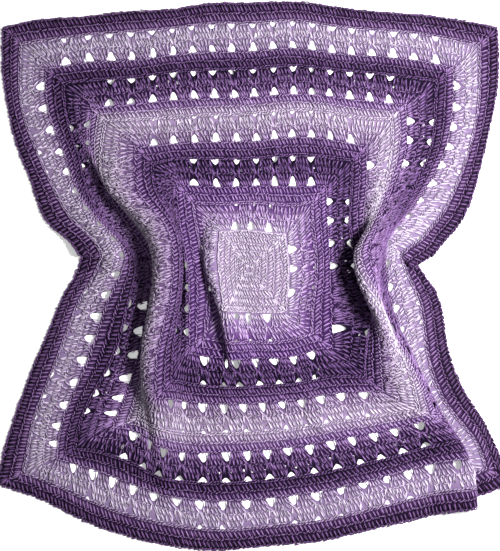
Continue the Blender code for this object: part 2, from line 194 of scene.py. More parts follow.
def spline_weights(knots, at):
    """Rows of weights that give a natural cubic spline through the values at the knots."""
    knots = np.asarray(knots, float)
    n = len(knots)
    gap = np.diff(knots)
    system, right = np.eye(n), np.zeros((n, n))
    for i in range(1, n - 1):
        system[i, i - 1], system[i, i], system[i, i + 1] = gap[i - 1], 2 * (gap[i - 1] + gap[i]), gap[i]
        right[i, i - 1], right[i, i + 1] = 6 / gap[i - 1], 6 / gap[i]
        right[i, i] = -6 / gap[i - 1] - 6 / gap[i]
    bend = np.linalg.solve(system, right)
    at = np.clip(np.asarray(at, float), knots[0], knots[-1])
    k = np.clip(np.searchsorted(knots, at, side="right") - 1, 0, n - 2)
    h = gap[k]
    b = (at - knots[k]) / h
    a = 1 - b
    weights = np.zeros((len(at), n))
    rows = np.arange(len(at))
    weights[rows, k] += a
    weights[rows, k + 1] += b
    weights += ((a**3 - a) * h * h / 6)[:, None] * bend[k] + ((b**3 - b) * h * h / 6)[:, None] * bend[k + 1]
    return weights


def smooth(x):
    x = np.clip(x, 0, 1)
    return x * x * (3 - 2 * x)


def turn(t):
    """Sideways pull across a fold: +1 just before the turn, -1 just after it."""
    return -t * np.exp((1 - t * t) / 2)


def rise(side):
    """Height across a fold, 0 to 1: half of it at each of the two turns, at side -0.8 and 0.8."""
    return 0.5 * (smooth((side + 1.6) / 1.6) + smooth(side / 1.6))


def fold_rows(rows, v):
    """A fold's sizes at each v: u, width, over, height, tail."""
    table = np.array(sorted(rows))
    weights = spline_weights(table[:, 0], v)
    u, width, over, height, tail = (weights @ table[:, 1:]).T
    inside = (v >= table[0, 0]) & (v <= table[-1, 0])
    return u, width, np.where(inside, np.maximum(over, 0), 0), np.where(inside, np.maximum(height, 0), 0), tail


def folds_at(u, v):
    """(pull along x, pull along y, height) of all folds, tucks, swells and creases at the flat places u, v."""
    dx, dy, z = np.zeros(len(u)), np.zeros(len(u)), np.zeros(len(u))
    for _, at_u, at_v, along_u, along_v, right, down in SHIFTS:
        near = np.exp(-(((u - at_u) / along_u) ** 2) - ((v - at_v) / along_v) ** 2)
        dx += right * near
        dy -= down * near
    for _, lean, rows in FOLDS:
        centre, width, over, height, tail = fold_rows(rows, v)
        t = (u - centre) / width
        dx += over * turn(t)
        side = -lean * t
        behind = np.clip((side - 1.1) * width / tail, 0, 1)
        z += height * rise(side) * 0.5 * (1 + np.cos(np.pi * behind))
    for _, edge, reach, centre, width, over, height, top in TUCKS:
        near = smooth(1 - np.abs(u - edge) / reach)
        t = (v - centre) / width
        dy += over * near * turn(t)
        side = top * t
        z += height * near * rise(side) * np.exp(-np.clip(side - 1.1, 0, None) * 0.45)
    for _, at_u, at_v, along_u, along_v, height in SWELLS:
        z += height * np.exp(-(((u - at_u) / along_u) ** 2) - ((v - at_v) / along_v) ** 2)
    for _, u1, v1, u2, v2, width, height in CREASES:
        du, dv = u2 - u1, v2 - v1
        length = np.hypot(du, dv)
        along = ((u - u1) * du + (v - v1) * dv) / length
        off = (-(u - u1) * dv + (v - v1) * du) / length
        ends = smooth((along + width) / (2 * width)) * smooth((length + width - along) / (2 * width))
        z += height * ends * np.exp(-((off / width) ** 2))
    return dx, dy, z


def base_tables():
    """The tables without the folds' own pull, which is put back at every place."""
    down = np.array([row[0] for row in PLACE_X])
    grid_v, grid_u = np.meshgrid(down, ROUNDS, indexing="ij")
    dx, dy, _ = folds_at(grid_u.ravel(), grid_v.ravel())
    x = np.array([row[1] for row in PLACE_X]) - MIDDLE_X - dx.reshape(grid_u.shape)
    y = MIDDLE_Y - np.array([row[1] for row in PLACE_Y]) - dy.reshape(grid_u.shape)
    order = np.argsort(down)
    return down[order], x[order], y[order]


DOWN, BASE_X, BASE_Y = base_tables()


def drape(u, v):
    """Places (in metres) of the middle of the cloth's thickness, for the flat places u, v."""
    u, v = np.asarray(u, float), np.asarray(v, float)
    across, down = spline_weights(ROUNDS, u), spline_weights(DOWN, v)
    dx, dy, z = folds_at(u, v)
    x = np.einsum("nj,nj->n", down @ BASE_X, across) + dx
    y = np.einsum("nj,nj->n", down @ BASE_Y, across) + dy
    z = np.maximum(z - FLAT_BELOW, 0)
    return np.stack([x * UNIT, y * UNIT, z * UNIT + THICKNESS / 2], axis=1)



# ---------------------------------------------------------------------------------------------------------------------
# From the flat square to the folds
# ---------------------------------------------------------------------------------------------------------------------

NEAR = 0.8  # distance over which the cloth's directions are taken


# Small ripples that lie on the folds: from u, v to u, v, height, half width
RIPPLES = (
    (-58.0, -62.0, -35.0, -150.0, 3.2, 5.4),
    (-9.0, -76.0, 5.0, -112.0, 1.9, 4.6),
    (41.0, -100.0, 70.0, -156.0, 2.6, 5.2),
    (80.0, 232.0, 88.0, 154.0, 2.8, 5.4),
    (55.0, 138.0, 56.0, 94.0, 2.2, 4.8),
    (22.0, 130.0, 27.0, 88.0, 1.9, 4.8),
    (-30.0, 236.0, -26.0, 192.0, 1.7, 5.0),
)


def rippled(u, v):
    """Height that the small ripples add at the flat places u, v."""
    height = np.zeros(np.shape(u))
    for u0, v0, u1, v1, tall, wide in RIPPLES:
        way_u, way_v = u1 - u0, v1 - v0
        length = np.hypot(way_u, way_v)
        along = ((u - u0) * way_u + (v - v0) * way_v) / length**2
        across = ((u - u0) * way_v - (v - v0) * way_u) / length
        ends = np.clip(np.minimum(along, 1 - along) / 0.22 + 0.35, 0, 1)
        height += tall * ends**2 * (3 - 2 * ends) * np.exp(-((across / wide) ** 2))
    return height


def place(u, v, w):
    """Points in metres at the flat places u, v and the height w over the middle of the fabric, and the cloth's normals."""
    shape = u.shape
    u, v, w = u.ravel(), v.ravel(), w.ravel()
    inner_u, inner_v = np.clip(u, -HALF, HALF), np.clip(v, -HALF, HALF)
    right, left = np.minimum(inner_u + NEAR, HALF), np.maximum(inner_u - NEAR, -HALF)
    upper, lower = np.minimum(inner_v + NEAR, HALF), np.maximum(inner_v - NEAR, -HALF)
    along_u = (drape(right, inner_v) - drape(left, inner_v)) / (right - left)[:, None]
    along_v = (drape(inner_u, upper) - drape(inner_u, lower)) / (upper - lower)[:, None]
    normal = np.cross(along_u, along_v)
    normal /= np.linalg.norm(normal, axis=1, keepdims=True)
    point = drape(inner_u, inner_v) + (u - inner_u)[:, None] * along_u + (v - inner_v)[:, None] * along_v
    point += ((w + rippled(inner_u, inner_v)) * UNIT)[:, None] * normal
    return point.reshape(*shape, 3), normal.reshape(*shape, 3)


def to_flat(side, a, r):
    """u, v of the place a along one side of a round (clockwise) and r out from the centre. Side 0 is the upper one."""
    return ((a, r), (r, -a), (-a, -r), (-r, a))[side]


def unit(vectors):
    return vectors / np.maximum(np.linalg.norm(vectors, axis=-1, keepdims=True), 1e-12)


# ---------------------------------------------------------------------------------------------------------------------
# Strands of yarn
# ---------------------------------------------------------------------------------------------------------------------


class Strands:
    """Collects the strands of one piece: rows of places with the yarn's radius at each, and makes them one mesh."""

    def __init__(self):
        self.batches = []

    def add(self, side, a, r, w, radius, around, tone_and_shade):
        """a, r, w and radius have a row for each strand and a column for each place on it. around is the count of faces
        round the yarn; the last argument is the strand's lightness, its own random tone together with painted shade
        where it lies lower.
        """
        u, v = to_flat(side, a, r)
        self.batches.append((u, v, w, radius, around, np.broadcast_to(tone_and_shade, (len(u),))))

    def mesh(self, name, collection):
        points, corners, totals, flat, strand, tones_and_shade, shade_depths = [], [], [], [], [], [], []
        first = 0
        for u, v, w, radius, around, tone_and_shade in self.batches:
            count, rings = u.shape
            centre, normal = place(u, v, w)
            ahead = unit(np.gradient(centre, axis=1))
            across = unit(np.cross(ahead, normal))
            up = np.cross(across, ahead)
            angle = np.arange(around) * 2 * np.pi / around
            out = np.cos(angle)[:, None] * across[:, :, None, :] + np.sin(angle)[:, None] * up[:, :, None, :]
            points.append((centre[:, :, None, :] + (radius * UNIT)[:, :, None, None] * out).reshape(-1, 3))
            # Places of the ring's points on the flat square
            way_u, way_v = np.gradient(u, axis=1), np.gradient(v, axis=1)
            size = np.maximum(np.hypot(way_u, way_v), 1e-9)
            beside = radius[:, :, None] * np.cos(angle)
            ring_u = u[:, :, None] + beside * (way_v / size)[:, :, None]
            ring_v = v[:, :, None] - beside * (way_u / size)[:, :, None]
            ring_flat = np.stack([ring_u, ring_v], axis=-1) / (2 * HALF) + 0.5
            step = np.linalg.norm(np.diff(centre, axis=1), axis=2) / UNIT
            length = np.concatenate([np.zeros((count, 1)), np.cumsum(step, axis=1)], axis=1)
            length += rng.uniform(0, 20, (count, 1))
            # Faces along the yarn
            s, k = np.meshgrid(np.arange(rings - 1), np.arange(around), indexing="ij")
            s, k = s.ravel(), k.ravel()
            ring, turned = np.stack([s, s, s + 1, s + 1], axis=1), np.stack([k, k + 1, k + 1, k], axis=1)
            index = ring * around + turned % around
            base = first + np.arange(count)[:, None, None] * rings * around
            corners.append((base + index).ravel())
            totals.append(np.full(count * len(s), 4))
            flat.append(ring_flat.reshape(count, rings * around, 2)[:, index].reshape(-1, 2))
            lengths = length[:, ring].reshape(count, -1)
            turns = np.broadcast_to((turned / around).ravel(), lengths.shape)
            strand.append(np.stack([lengths, turns], axis=-1).reshape(-1, 2))
            # Faces over the yarn's ends
            for ring_at, order in ((0, np.arange(around)[::-1]), (rings - 1, np.arange(around))):
                index = ring_at * around + order
                corners.append((base[:, 0, :1] + index).ravel())
                totals.append(np.full(count, around))
                flat.append(ring_flat.reshape(count, rings * around, 2)[:, index].reshape(-1, 2))
                lengths = np.broadcast_to(length[:, ring_at : ring_at + 1], (count, around))
                turns = np.broadcast_to(order / around, lengths.shape)
                strand.append(np.stack([lengths, turns], axis=-1).reshape(-1, 2))
            tones_and_shade.append(np.repeat(tone_and_shade, rings * around))
            # Painted shade: how deep each point lies under the tops of the strands, which the material darkens
            height = w[:, :, None] + radius[:, :, None] * np.abs(np.sin(angle))
            shade_depths.append(np.clip((DEPTH_FROM - height) / DEPTH_OVER, 0, 1).ravel())
            first += count * rings * around
        return make_mesh(
            name, collection, np.concatenate(points), np.concatenate(corners), np.concatenate(totals),
            np.concatenate(flat), np.concatenate(strand), np.concatenate(tones_and_shade), np.concatenate(shade_depths),
        )


def make_mesh(name, collection, points, corners, totals, flat, strand, tones_and_shade, shade_depths):
    mesh = bpy.data.meshes.new(name)
    mesh.vertices.add(len(points))
    mesh.vertices.foreach_set("co", points.astype(np.float32).ravel())
    mesh.loops.add(len(corners))
    mesh.loops.foreach_set("vertex_index", corners.astype(np.int32))
    mesh.polygons.add(len(totals))
    starts = np.concatenate([[0], np.cumsum(totals)[:-1]])
    mesh.polygons.foreach_set("loop_start", starts.astype(np.int32))
    mesh.polygons.foreach_set("use_smooth", np.ones(len(totals), bool))
    mesh.uv_layers.new(name=FLAT_MAP).data.foreach_set("uv", flat.astype(np.float32).ravel())
    mesh.uv_layers.new(name=STRAND_MAP).data.foreach_set("uv", strand.astype(np.float32).ravel())
    for label, values in (("tone_and_shade", tones_and_shade), ("shade_depth", shade_depths)):
        mesh.attributes.new(label, "FLOAT", "POINT").data.foreach_set("value", values.astype(np.float32))
    mesh.update(calc_edges=True)
    mesh.validate()
    mesh.uv_layers.active = mesh.uv_layers[FLAT_MAP]
    obj = bpy.data.objects.new(name, mesh)
    collection.objects.link(obj)
    return obj


FLAT_MAP, STRAND_MAP = "OFBake", "strand"
DEPTH_FROM, DEPTH_OVER = 1.25, 1.35  # height over the fabric's middle under which yarn is painted darker as shade, and over how much


def profile(rings, ends, middle=1.0):
    """Radius along a strand, thinner where it goes under its neighbours."""
    s = np.linspace(-1, 1, rings)
    return middle - (middle - ends) * s**4


def slanted(yarn, side, foot, head, low, high, lean, radius, lift, pieces=1, rings=5, around=5, hook=0.35, tone_and_shade=1.0,
            bow=1.0, stray=0.16, uneven=0.13, sway=0.0):
    """Slanted strands over the posts that go from foot to head between two round lines, in one or more steps."""
    foot, head = np.asarray(foot, float), np.asarray(head, float)
    count = len(foot)
    tall = (high - low) / pieces
    for j in range(pieces):
        s = np.linspace(0, 1, rings)
        t = np.clip((j + s * 1.08 - 0.04) / pieces, 0, 1)
        post = foot[:, None] + (head - foot)[:, None] * t**bow
        slant = lean * rng.normal(1, 0.18, (count, 1)) + rng.normal(0, 0.06, (count, 1))
        post = post + sway * rng.normal(1, 0.3, (count, 1)) * np.sin(2 * np.pi * s)
        a = post + slant * tall * (0.5 - s) + hook * (1 - s) ** 2.5 + rng.normal(0, stray, (count, 1))
        r = low + (high - low) * t + rng.normal(0, stray * 1.3, (count, 1))
        w = lift * (0.15 + 0.85 * np.sin(np.pi * s) ** 0.7) - 0.40 * (1 - s) ** 3 - 0.20 * s**4
        w = w + rng.normal(0, 0.08, (count, 1))
        size = radius * profile(rings, 0.42) * rng.normal(1, 0.09, (count, 1))
        yarn.add(side, a, np.broadcast_to(r, a.shape), np.broadcast_to(w, a.shape), size, around,
                 tone_and_shade * np.exp(rng.normal(0, uneven, count)))


def paired(yarn, side, foot, head, low, high, lean, radius, lift, apart=1.1, tone_and_shade=1.0, rings=5, around=5, pieces=1,
           **rest):
    """Posts with a thinner strand beside each, a little lower and painted darker as shade."""
    foot, head = np.asarray(foot, float), np.asarray(head, float)
    slanted(yarn, side, foot, head, low, high, lean, radius, lift, pieces=pieces, rings=rings, around=around, tone_and_shade=tone_and_shade,
            **rest)
    # Painted shade: the thinner strand beside each post is made a tenth darker because it lies lower
    slanted(yarn, side, foot + apart, head + apart, low - 0.3, high - 0.7, lean, radius * 0.62, lift - 0.10, rings=4,
            around=3, tone_and_shade=tone_and_shade * 0.90, **rest)


def loops(yarn, side, at, r, wide, radius, lift, slope=0.5, rings=3, around=4, tone_and_shade=1.0, stray=0.22, uneven=0.15):
    """Loops along the top of a round, each lying a little over the next."""
    at = np.asarray(at, float)
    s = np.linspace(-0.5, 0.5, rings)
    tilt = slope * rng.normal(1, 0.35, (len(at), 1))
    a = at[:, None] + wide * s * rng.normal(1, 0.10, (len(at), 1)) + rng.normal(0, stray, (len(at), 1))
    out = r + tilt * s + 0.35 * np.cos(np.pi * s) + rng.normal(0, stray, (len(at), 1))
    w = lift + 0.32 * np.cos(np.pi * s) - 0.20 * s + rng.normal(0, 0.10, (len(at), 1))
    size = radius * profile(rings, 0.45) * rng.normal(1, 0.10, (len(at), 1))
    yarn.add(side, a, out, w, size, around, tone_and_shade * np.exp(rng.normal(0, uneven, len(at))))


def tangle(yarn, side, a, r, long, radius, lift, turned, tone_and_shade=0.9):
    """Short bits of yarn that show between the posts, at the places a, r and turned by about this angle."""
    count = len(a)
    s = np.linspace(-0.5, 0.5, 3)
    angle = turned + rng.normal(0, 0.65, (count, 1))
    size = long * rng.uniform(0.7, 1.25, (count, 1))
    bend = rng.normal(0, 0.55, (count, 1)) * np.cos(np.pi * s)
    along, off = size * s, bend
    places_a = a[:, None] + along * np.cos(angle) - off * np.sin(angle)
    places_r = r[:, None] + along * np.sin(angle) + off * np.cos(angle)
    w = lift + 0.30 * np.cos(np.pi * s) + rng.normal(0, 0.12, (count, 1))
    yarn.add(side, places_a, places_r, w, radius * profile(3, 0.45) * rng.normal(1, 0.12, (count, 1)), 3,
             tone_and_shade * np.exp(rng.normal(0, 0.22, count)))


def spaced(start, end, pitch):
    """Places at about this pitch, half a pitch in from both ends."""
    count = max(1, int(round((end - start) / pitch)))
    return start + (np.arange(count) + 0.5) * (end - start) / count


# ---------------------------------------------------------------------------------------------------------------------
# The stitches
# ---------------------------------------------------------------------------------------------------------------------

PITCH = 4.2  # from one post to the next
REPEAT = 22.625  # from one opening of a band to the next
BAND_STEP = 2 * REPEAT  # from one band to the next
FIRST_BAND = 42.0
BANDS = 5
ROUND_A, ROUND_B, CHAIN_ROUND = 13.0, 14.0, 2.5  # heights of a band's rounds

# Solid rounds at the centre: low, high, pitch, lean of the strands, their radius
CENTRE_ROUNDS = (
    (1.6, 6.2, 2.5, 0.10, 0.62),
    (6.2, 12.8, 3.1, 0.30, 0.72),
    (12.8, 19.6, 3.3, 0.34, 0.78),
    (19.6, 27.0, 3.5, 0.36, 0.82),
    (27.0, 34.4, 3.6, 0.36, 0.84),
    (34.4, 40.2, 3.7, 0.36, 0.84),
)


def solid_round(yarn, low, high, pitch=PITCH, lean=0.30, radius=0.93):
    """A round of posts, each of two strands, with the strand between them and the loops on their tops."""
    tall = high - low
    for side in range(4):
        head = spaced(-high, high, pitch)
        foot = head + lean * tall * 0.5
        foot = np.where(np.abs(foot) > low - 0.6, np.sign(foot) * (low - 0.6 + 0.12 * (np.abs(foot) - low)), foot)
        head = head - lean * tall * 0.5 * (1 - np.clip((np.abs(head) - low) / tall, 0, 1))
        paired(yarn, side, foot, head, low + 0.7, high - 1.4, 0.0, radius, 0.48, apart=pitch * 0.30, rings=5,
               around=4, hook=0.5, sway=0.14, stray=0.30)
        between = pitch * 0.5
        # The strand between the posts lies low and is painted darker, as shade
        slanted(yarn, side, foot + between * 1.2, head + between * 1.2, low + 0.2, high - 2.6, -0.1, radius * 0.5, -0.25,
                rings=3, around=3, tone_and_shade=0.72)
        loops(yarn, side, head - 0.2, high - 1.3, pitch * 0.62, radius * 0.80, 0.52, slope=1.5, rings=3, tone_and_shade=1.06,
              stray=0.36)
        loops(yarn, side, head + between, high - 0.5, pitch * 0.62, radius * 0.76, 0.40, slope=1.2, rings=3, tone_and_shade=1.0,
              stray=0.38)


# Lengths where a fold draws the openings shut: place, low u, high u, low v, high v
DRAWN_SHUT = (
    ("left rope", -161.0, -131.0, -150.0, 122.0),
    ("hollow left of the rope", -207.0, -177.0, -44.0, 112.0),
    ("right of the rope", -116.0, -86.0, 22.0, 112.0),
    ("right ridge", 131.0, 161.0, -122.0, 96.0),
    ("behind the right ridge", 177.0, 207.0, -54.0, 112.0),
    ("centre pleat", -56.0, -40.0, -30.0, 60.0),
    ("left of the right ridge", 84.0, 118.0, -64.0, -18.0),
)


def closes_outside(n, side):
    """Whether the outer openings of a band are mostly covered on this side."""
    return n in (1, 3) or (n == BANDS and side != 0)


def drawn_shut(u, v):
    """Whether a fold draws the openings shut at these places of the flat square."""
    shut = np.zeros(np.shape(u), bool)
    for _, u0, u1, v0, v1 in DRAWN_SHUT:
        shut |= (u > u0) & (u < u1) & (v > v0) & (v < v1)
    return shut


def band(yarn, n):
    """A band of shells between openings: two rounds of posts, and a round of chains."""
    low = FIRST_BAND + BAND_STEP * (n - 1)
    middle, high = low + ROUND_A, low + ROUND_A + ROUND_B
    last = 2 * n - 1
    for side in range(4):
        axes = np.arange(-last, last + 1) * REPEAT
        centres = (axes[1:] + axes[:-1]) / 2
        # Lower round: six posts, drawn together at the foot and spread at the top
        foot = (centres[:, None] + np.array([-5.0, -2.5, 0.0, 2.5, 5.0])).ravel()
        head = (centres[:, None] + np.array([-9.6, -4.8, 0.0, 4.8, 9.6])).ravel()
        paired(yarn, side, foot, head, low + 0.3, middle - 0.6, 0.42, 0.92, 0.48, apart=1.25, pieces=2, rings=4,
               around=4, hook=0.4, bow=1.45, stray=0.26, uneven=0.16)
        # Upper round: five posts between the arms
        foot = (centres[:, None] + np.array([-5.4, -1.8, 1.8, 5.4])).ravel()
        head = (centres[:, None] + np.array([-5.8, -1.9, 1.9, 5.8])).ravel()
        paired(yarn, side, foot, head, middle + 0.2, high - 0.8, 0.42, 0.92, 0.46, apart=1.25, pieces=2, rings=4,
               around=4, hook=0.4, stray=0.30, uneven=0.16)
        # Arms that part over each opening and close round the next one
        for way in (-1, 1):
            slanted(yarn, side, axes + way * 1.1, axes + way * 5.9, low + 10.4, high - 0.2, 0.25, 0.92, 0.62, pieces=2,
                    rings=4, around=4, hook=0.0, stray=0.30, uneven=0.14, tone_and_shade=1.1)
            # The inner arms lie lower and are painted darker, as shade
            slanted(yarn, side, axes + way * 0.4, axes + way * 2.6, low + 9.6, low + 21.0, 0.35, 0.70, 0.20, pieces=1,
                    rings=4, around=4, hook=0.2, stray=0.35, uneven=0.2, tone_and_shade=0.8)
        # The corner's fan
        for way in (-1, 1):
            reach = last * REPEAT
            count = int(round(((low - reach - 5.1) + (middle - reach)) / 2 / 3.8))
            share = (np.arange(count) + 0.5) / count
            paired(yarn, side, way * (reach + 6.3 + share * (low - reach - 6.6)),
                   way * (reach + 0.8 + share * (middle - reach - 1.2)), low + 0.2, middle - 0.6, 0.40, 0.92, 0.46,
                   apart=1.2, pieces=2, rings=4, around=4, hook=0.4, bow=1.4, stray=0.26, uneven=0.16)
            count = int(round(((middle - reach - 5.3) + (high - reach - 5.6)) / 2 / 4.2))
            share = (np.arange(count) + 0.5) / count
            paired(yarn, side, way * (reach + 5.4 + share * (middle - reach - 5.9)),
                   way * (reach + 5.9 + share * (high - reach - 6.4)), middle - 0.2, high - 0.6, 0.40, 0.92, 0.46,
                   apart=1.2, pieces=2, rings=4, around=4, hook=0.4, stray=0.28, uneven=0.16)
        # Bits of yarn between the posts, clear of the openings
        count = int((high - low) * 2 * middle / 22 * 4)
        a, r = rng.uniform(-middle, middle, count), rng.uniform(low + 1, high - 1, count)
        from_axis = np.abs((a + REPEAT / 2) % REPEAT - REPEAT / 2)
        up = r - low
        tip, spread = (23.6, 0.62) if closes_outside(n, side) else (20.5, 0.75)
        free = np.where(np.abs(a) > reach + REPEAT / 2, True,
                        (from_axis > 5.6 - 0.35 * up) & ~((up > tip) & (from_axis < 1.0 + (up - tip) * spread)))
        u, v = to_flat(side, a, r)
        shut = drawn_shut(u, v)
        free = (shut | (free & (np.arange(count) % 4 == 0))) & (np.abs(a) < r)
        tangle(yarn, side, a[free], r[free], 4.2, 0.70, 0.34, 1.9)
        # Loops on both rounds, and the chains over the outer openings
        at = spaced(-middle, middle, 4.4)
        loops(yarn, side, at, middle - 0.3, 3.2, 0.68, 0.38, slope=1.5, stray=0.55)
        loops(yarn, side, spaced(-high, high, 3.4), high + 0.1, 3.6, 0.72, 0.42, slope=1.2, stray=0.34)
        loops(yarn, side, spaced(-high - CHAIN_ROUND, high + CHAIN_ROUND, 3.2), high + 1.9, 3.6, 0.76, 0.40, slope=1.1,
              stray=0.30)


def openings():
    """Outlines of the openings, as rows of u, v. Their sizes vary a little, as worked yarn does."""
    found = []
    for n in range(1, BANDS + 1):
        low = FIRST_BAND + BAND_STEP * (n - 1)
        last = 2 * n - 1
        for side in range(4):
            for k in range(-last, last + 1):
                axis = k * REPEAT
                wide, tall, off = rng.normal(1, 0.08), rng.normal(1, 0.09), rng.normal(0, 0.3)
                lower = ((-5.4, 0.0), (5.4, 0.0), (3.9, 4.2), (1.0, 8.4), (-1.0, 8.4), (-3.9, 4.2))
                shapes = [[(a * wide + off, r * tall) for a, r in lower]]
                small = closes_outside(n, side)
                wide = rng.normal(0.62 if small else 0.94, 0.10)
                tip, off = (24.2 if small else 22.2) + rng.normal(0, 0.5), rng.normal(0, 0.4)
                outer = [(-5.3 * wide + off, 27.6), (-0.9 + off, tip), (0.9 + off, tip), (5.3 * wide + off, 27.6)]
                if rng.random() < (0.45 if n == BANDS and small else 1.0):
                    shapes.append(outer)
                for way in (-1, 1):
                    middle_a, middle_r = way * (5.0 + rng.normal(0, 0.5)), 17.6 + rng.normal(0, 0.9)
                    half, tall = rng.uniform(0.9, 2.0), rng.uniform(1.4, 3.0)
                    if small:
                        half, tall = half * 0.6, tall * 0.6
                    shapes.append([(middle_a - half, middle_r), (middle_a, middle_r - tall),
                                   (middle_a + half, middle_r), (middle_a, middle_r + tall)])
                for shape in shapes:
                    a, r = np.array(shape).T
                    outline = np.stack(to_flat(side, axis + a, low + r), axis=1)
                    if not drawn_shut(*outline.mean(0)):
                        found.append(outline)
    return found


def nearest_on(outline, point):
    """The nearest place on a closed outline."""
    start, end = outline, np.roll(outline, -1, axis=0)
    way = end - start
    t = np.clip(((point - start) * way).sum(1) / (way**2).sum(1), 0, 1)
    on = start + t[:, None] * way
    return on[np.argmin(((on - point) ** 2).sum(1))]


def inside(outline, points):
    """Which points lie in a convex outline."""
    way = np.roll(outline, -1, axis=0) - outline
    off = points[..., None, :] - outline
    turn_way = way[:, 0] * off[..., 1] - way[:, 1] * off[..., 0]
    return (turn_way > 0).all(-1) | (turn_way < 0).all(-1)


def ground_mesh(name, collection):
    """The fabric behind the strands, one layer, open where the stitches leave openings."""
    step = REPEAT / 8
    count = int(HALF / step)
    lines = np.concatenate([[-HALF], np.arange(-count, count + 1) * step, [HALF]])
    size = len(lines)
    u, v = np.meshgrid(lines, lines, indexing="ij")
    places = np.stack([u, v], axis=-1)
    middles = (lines[1:] + lines[:-1]) / 2
    kept = np.ones((size - 1, size - 1), bool)
    cuts = []
    for outline in openings():
        lowest, highest = outline.min(0), outline.max(0)
        i0, j0 = np.maximum(np.searchsorted(middles, lowest) - 1, 0)
        i1, j1 = np.minimum(np.searchsorted(middles, highest) + 1, size - 1)
        mid_u, mid_v = np.meshgrid(middles[i0:i1], middles[j0:j1], indexing="ij")
        mids = np.stack([mid_u, mid_v], axis=-1)
        cut = inside(outline, mids)
        if not cut.any():
            far = ((mids - outline.mean(0)) ** 2).sum(-1)
            cut[np.unravel_index(np.argmin(far), far.shape)] = True
        kept[i0:i1, j0:j1] &= ~cut
        cuts.append((outline, i0, j0, cut))
    for outline, i0, j0, cut in cuts:
        touched = set()
        for i, j in np.argwhere(cut):
            for di in (0, 1):
                for dj in (0, 1):
                    touched.add((i0 + i + di, j0 + j + dj))
        for i, j in touched:
            if kept[max(i - 1, 0) : i + 1, max(j - 1, 0) : j + 1].any():
                places[i, j] = nearest_on(outline, places[i, j])
    i, j = np.nonzero(kept)
    faces = np.stack([i * size + j, (i + 1) * size + j, (i + 1) * size + j + 1, i * size + j + 1], axis=1)
    used, faces = np.unique(faces, return_inverse=True)
    faces = faces.reshape(-1, 4)
    flat = places.reshape(-1, 2)[used]
    height = np.full(len(flat), GROUND_HEIGHT)
    points, _ = place(flat[:, 0], flat[:, 1], height)
    uv = flat[faces.ravel()] / (2 * HALF) + 0.5
    obj = make_mesh(name, collection, points, faces.ravel(), np.full(len(faces), 4), uv, flat[faces.ravel()],
                    np.ones(len(points)), np.ones(len(points)))
    return obj


GROUND_HEIGHT = -0.25

# ---------------------------------------------------------------------------------------------------------------------
# Materials
# ---------------------------------------------------------------------------------------------------------------------

# Colour of the yarn along its shaded lengths: distance out from the centre, then red, green and blue of 255
SHADES = (
    (0.0, 206, 197, 213),
    (38.0, 207, 197, 214),
    (46.0, 200, 187, 211),
    (59.0, 192, 169, 207),
    (75.0, 166, 136, 186),
    (84.0, 162, 130, 184),
    (96.0, 137, 107, 157),
    (107.0, 124, 95, 145),
    (119.0, 136, 105, 156),
    (129.0, 158, 129, 177),
    (141.0, 190, 175, 200),
    (156.0, 206, 197, 213),
    (166.0, 197, 184, 206),
    (174.0, 174, 147, 192),
    (187.0, 151, 122, 169),
    (200.0, 132, 103, 152),
    (211.0, 120, 90, 139),
    (219.0, 155, 126, 173),
    (231.0, 197, 185, 207),
    (241.0, 203, 193, 211),
    (249.0, 198, 187, 208),
    (251.5, 168, 146, 182),
    (256.0, 153, 123, 170),
    (263.0, 131, 101, 148),
    (271.0, 116, 87, 133),
)


def linear(value):
    value = value / 255
    return value / 12.92 if value <= 0.04045 else ((value + 0.055) / 1.055) ** 2.4


class Nodes:
    """Short ways to add nodes to a material."""

    def __init__(self, name):
        self.material = bpy.data.materials.new(name)
        self.material.use_nodes = True
        self.tree = self.material.node_tree
        self.shader = next(node for node in self.tree.nodes if node.type == "BSDF_PRINCIPLED")

    def new(self, kind, **values):
        node = self.tree.nodes.new(kind)
        for key, value in values.items():
            setattr(node, key, value)
        return node

    def put(self, socket, value):
        if hasattr(value, "is_output"):
            self.tree.links.new(value, socket)
        elif value is not None:
            socket.default_value = value

    def math(self, operation, a, b=None, clamp=False):
        node = self.new("ShaderNodeMath", operation=operation, use_clamp=clamp)
        self.put(node.inputs[0], a)
        self.put(node.inputs[1], b)
        return node.outputs[0]

    def noise(self, vector, scale, detail=2.0, rough=0.5):
        node = self.new("ShaderNodeTexNoise")
        self.put(node.inputs["Vector"], vector)
        node.inputs["Scale"].default_value = scale
        node.inputs["Detail"].default_value = detail
        node.inputs["Roughness"].default_value = rough
        return node.outputs["Fac"]

    def scaled(self, vector, by):
        node = self.new("ShaderNodeVectorMath", operation="MULTIPLY")
        self.put(node.inputs[0], vector)
        node.inputs[1].default_value = by
        return node.outputs[0]

    def mixed(self, blend, factor, a, b):
        node = self.new("ShaderNodeMix", data_type="RGBA", blend_type=blend)
        self.put(node.inputs[0], factor)
        self.put(node.inputs[6], a)
        self.put(node.inputs[7], b)
        return node.outputs[2]

    def spread(self, value, low, high, to_low, to_high):
        node = self.new("ShaderNodeMapRange")
        self.put(node.inputs["Value"], value)
        for name, number in (("From Min", low), ("From Max", high), ("To Min", to_low), ("To Max", to_high)):
            node.inputs[name].default_value = number
        return node.outputs["Result"]


